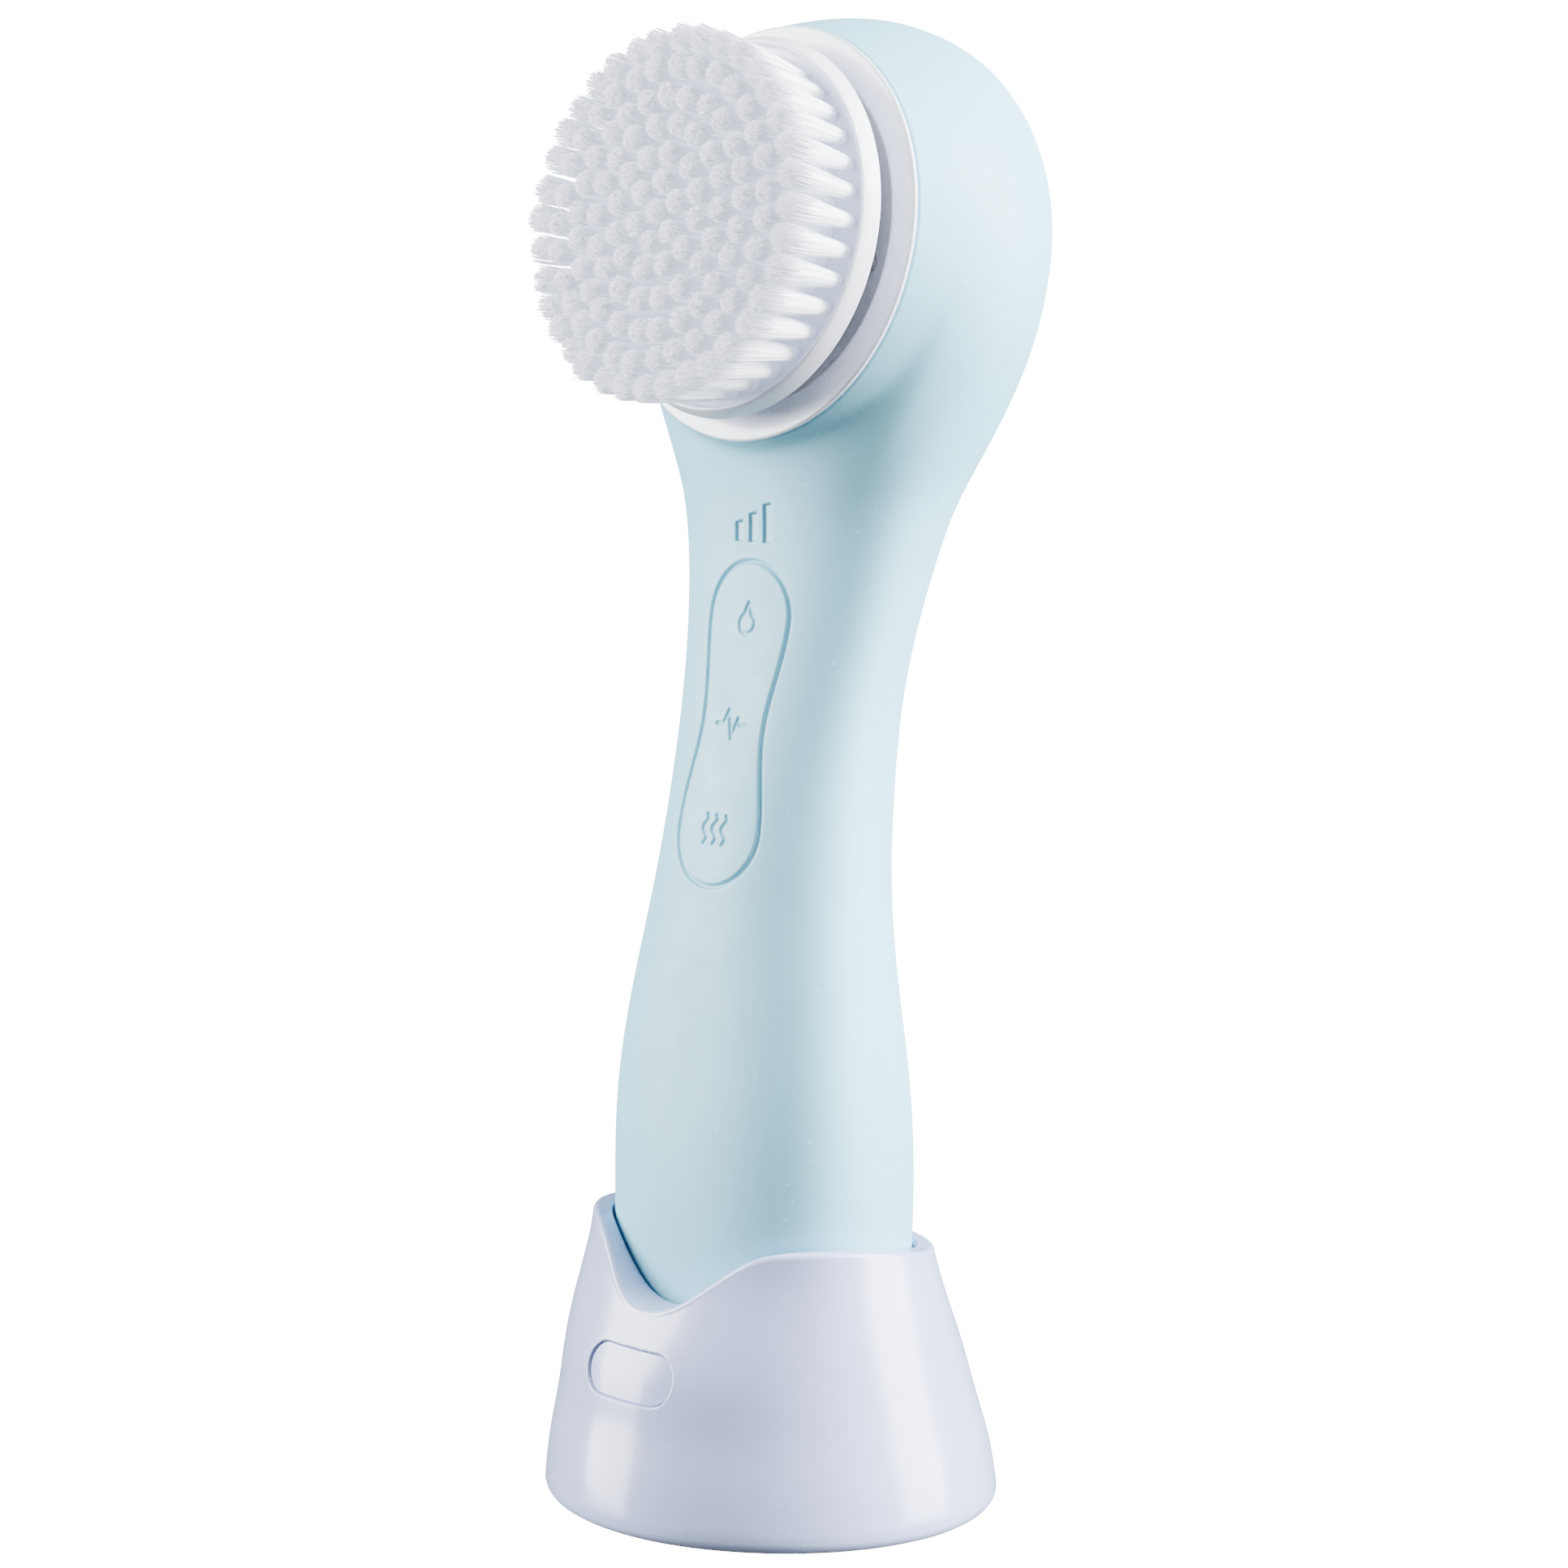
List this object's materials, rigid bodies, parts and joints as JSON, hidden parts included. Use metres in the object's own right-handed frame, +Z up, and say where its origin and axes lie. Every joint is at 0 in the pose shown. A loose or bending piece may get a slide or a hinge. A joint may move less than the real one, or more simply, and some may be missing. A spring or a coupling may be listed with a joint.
{
  "type": "facial cleansing brush",
  "caption": "Hand-held facial cleansing brush with a turning bristle head, sprung keys and a heated back plate, upright in its cup-shaped charging stand.",
  "frame": {"origin": "centre of the stand's footprint, on the underside of its anti-slip pad", "axes": "+Z up, along the handle; -Y towards the bristle side and the stand's front dip; +X to the object's right as seen from behind the bristles"},
  "size_m": [0.0638, 0.0614, 0.1981],
  "materials": {
    "silicone_mint": "matte satin",
    "gloss_lavender": "gloss",
    "gloss_white": "gloss",
    "bristle_nylon": "fine fibres",
    "light_diffuser": "frosted",
    "shell_plastic": "moulded, fine grain",
    "gear_plastic": "moulded acetal",
    "soft_rubber": "matte",
    "polished_steel": "polished",
    "steel": "turned",
    "bronze": "sintered",
    "copper_winding": "enamelled wire",
    "circuit_board": "solder mask",
    "ferrite": "matte",
    "battery_sleeve": "shrink sleeve",
    "heater_foil": "film"
  },
  "bodies": {
    "stand": {"stand_shell": "gloss_lavender", "badge_insert": "gloss_lavender", "anti_slip_pad": "soft_rubber", "base_plate": "shell_plastic", "base_screws": "steel", "charging_board": "circuit_board", "transmit_coil": "copper_winding", "supply_inlet": "shell_plastic"},
    "handle": {"silicone_skin": "silicone_mint", "light_bars": "light_diffuser", "shell_screws": "steel", "core_shell_front": "shell_plastic", "core_shell_back": "shell_plastic", "heated_plate": "polished_steel", "plate_gasket": "soft_rubber", "heater_film": "heater_foil", "main_board": "circuit_board", "tact_switches": "circuit_board", "level_lamps": "light_diffuser", "light_guide": "light_diffuser", "battery_cell": "battery_sleeve", "battery_holder": "shell_plastic", "receive_coil": "copper_winding", "coil_shield": "ferrite", "bezel_ring": "gloss_white", "idler_pin": "steel", "motor_can": "steel", "motor_end_cap": "shell_plastic", "head_deck": "shell_plastic", "gearbox_plate": "steel", "deck_spacers": "steel", "deck_screws": "steel", "front_bearing": "bronze", "rear_bearing": "bronze", "shaft_seal": "soft_rubber"},
    "brush_drive": {"drive_shaft": "steel", "output_gear": "gear_plastic", "retaining_clip": "steel"},
    "brush_head": {"brush_carrier": "gloss_white", "brush_socket": "shell_plastic", "drive_insert": "steel", "bristle_field": "bristle_nylon"},
    "idler": {"idler_gear": "gear_plastic"},
    "rotor": {"motor_armature": "steel", "motor_shaft": "steel", "motor_pinion": "gear_plastic"},
    "clean_key": {"clean_key": "silicone_mint"},
    "ems_key": {"ems_key": "silicone_mint"},
    "heat_key": {"heat_key": "silicone_mint"}
  },
  "joints": [
    {"name": "handle_lift", "type": "slide", "parent": "stand", "child": "handle", "axis": [0, 0, 1], "range_m": [0, 0.045]},
    {"name": "brush_spin", "type": "hinge", "parent": "handle", "child": "brush_drive", "pos_m": [0, -0.0045, 0.1697], "axis": [0, -0.9866, 0.1633], "continuous": true},
    {"name": "brush_pull", "type": "slide", "parent": "brush_drive", "child": "brush_head", "axis": [0, -0.9866, 0.1633], "range_m": [0, 0.03]},
    {"name": "idler_spin", "type": "hinge", "parent": "handle", "child": "idler", "pos_m": [-0.00803, -0.00637, 0.15839], "axis": [0, -0.9866, 0.1633], "continuous": true},
    {"name": "motor_spin", "type": "hinge", "parent": "handle", "child": "rotor", "pos_m": [0.00231, -0.00667, 0.15658], "axis": [0, -0.9866, 0.1633], "continuous": true},
    {"name": "clean_press", "type": "slide", "parent": "handle", "child": "clean_key", "axis": [0, 0.9877, -0.1564], "range_m": [0, 0.0005], "stiffness_N_per_m": 400},
    {"name": "ems_press", "type": "slide", "parent": "handle", "child": "ems_key", "axis": [0, 0.9877, -0.1564], "range_m": [0, 0.0005], "stiffness_N_per_m": 400},
    {"name": "heat_press", "type": "slide", "parent": "handle", "child": "heat_key", "axis": [0, 0.9877, -0.1564], "range_m": [0, 0.0005], "stiffness_N_per_m": 400}
  ],
  "couplings": [
    {"joint": "idler_spin", "follows": "brush_spin", "ratio": -3},
    {"joint": "motor_spin", "follows": "brush_spin", "ratio": 7.5}
  ]
}
